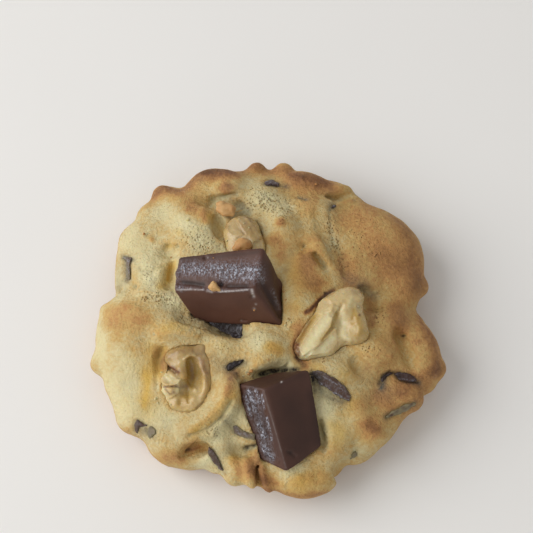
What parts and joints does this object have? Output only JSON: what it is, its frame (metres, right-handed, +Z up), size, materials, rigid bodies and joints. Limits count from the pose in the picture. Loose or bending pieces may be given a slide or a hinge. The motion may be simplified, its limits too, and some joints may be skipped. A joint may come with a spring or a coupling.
{
  "type": "chocolate chip cookie",
  "caption": "Thick round drop cookie with a lumpy browned top, a flat base, dark chocolate chunks and shards, and walnut pieces set into the dough.",
  "frame": {"origin": "centre of the bounding box at the flat base", "axes": "+Z up through the top of the cookie, -Y towards the side shown nearest in the picture, +X to its right"},
  "size_m": [0.0918, 0.0927, 0.0302],
  "materials": {
    "baked_dough": "baked dough, matt, pale yellow in the hollows and golden brown on the swells",
    "chocolate": "dark chocolate, smooth satin faces and rough snapped faces",
    "walnut": "walnut flesh, cream with amber grooves, slightly oily",
    "toasted_nut": "toasted nut crumb, golden"
  },
  "bodies": {
    "root": {"dough": "baked_dough", "chunk_upper": "chocolate", "chunk_lower": "chocolate", "shard_in_pit": "chocolate", "shard_centre": "chocolate", "shard_right_of_chunk": "chocolate", "shard_right_edge": "chocolate", "shard_right_arc": "chocolate", "shard_lower_right": "chocolate", "chip_left_upper": "chocolate", "chip_left_lower": "chocolate", "shard_bottom": "chocolate", "shard_lower_centre": "chocolate", "chip_left_edge": "chocolate", "chip_rear": "chocolate", "chip_rear_right": "chocolate", "chip_front": "chocolate", "walnut_right": "walnut", "walnut_left": "walnut", "walnut_top": "walnut", "crumb_on_chunk": "toasted_nut", "crumb_golden_front": "toasted_nut", "crumb_golden_rear": "toasted_nut"}
  },
  "joints": []
}
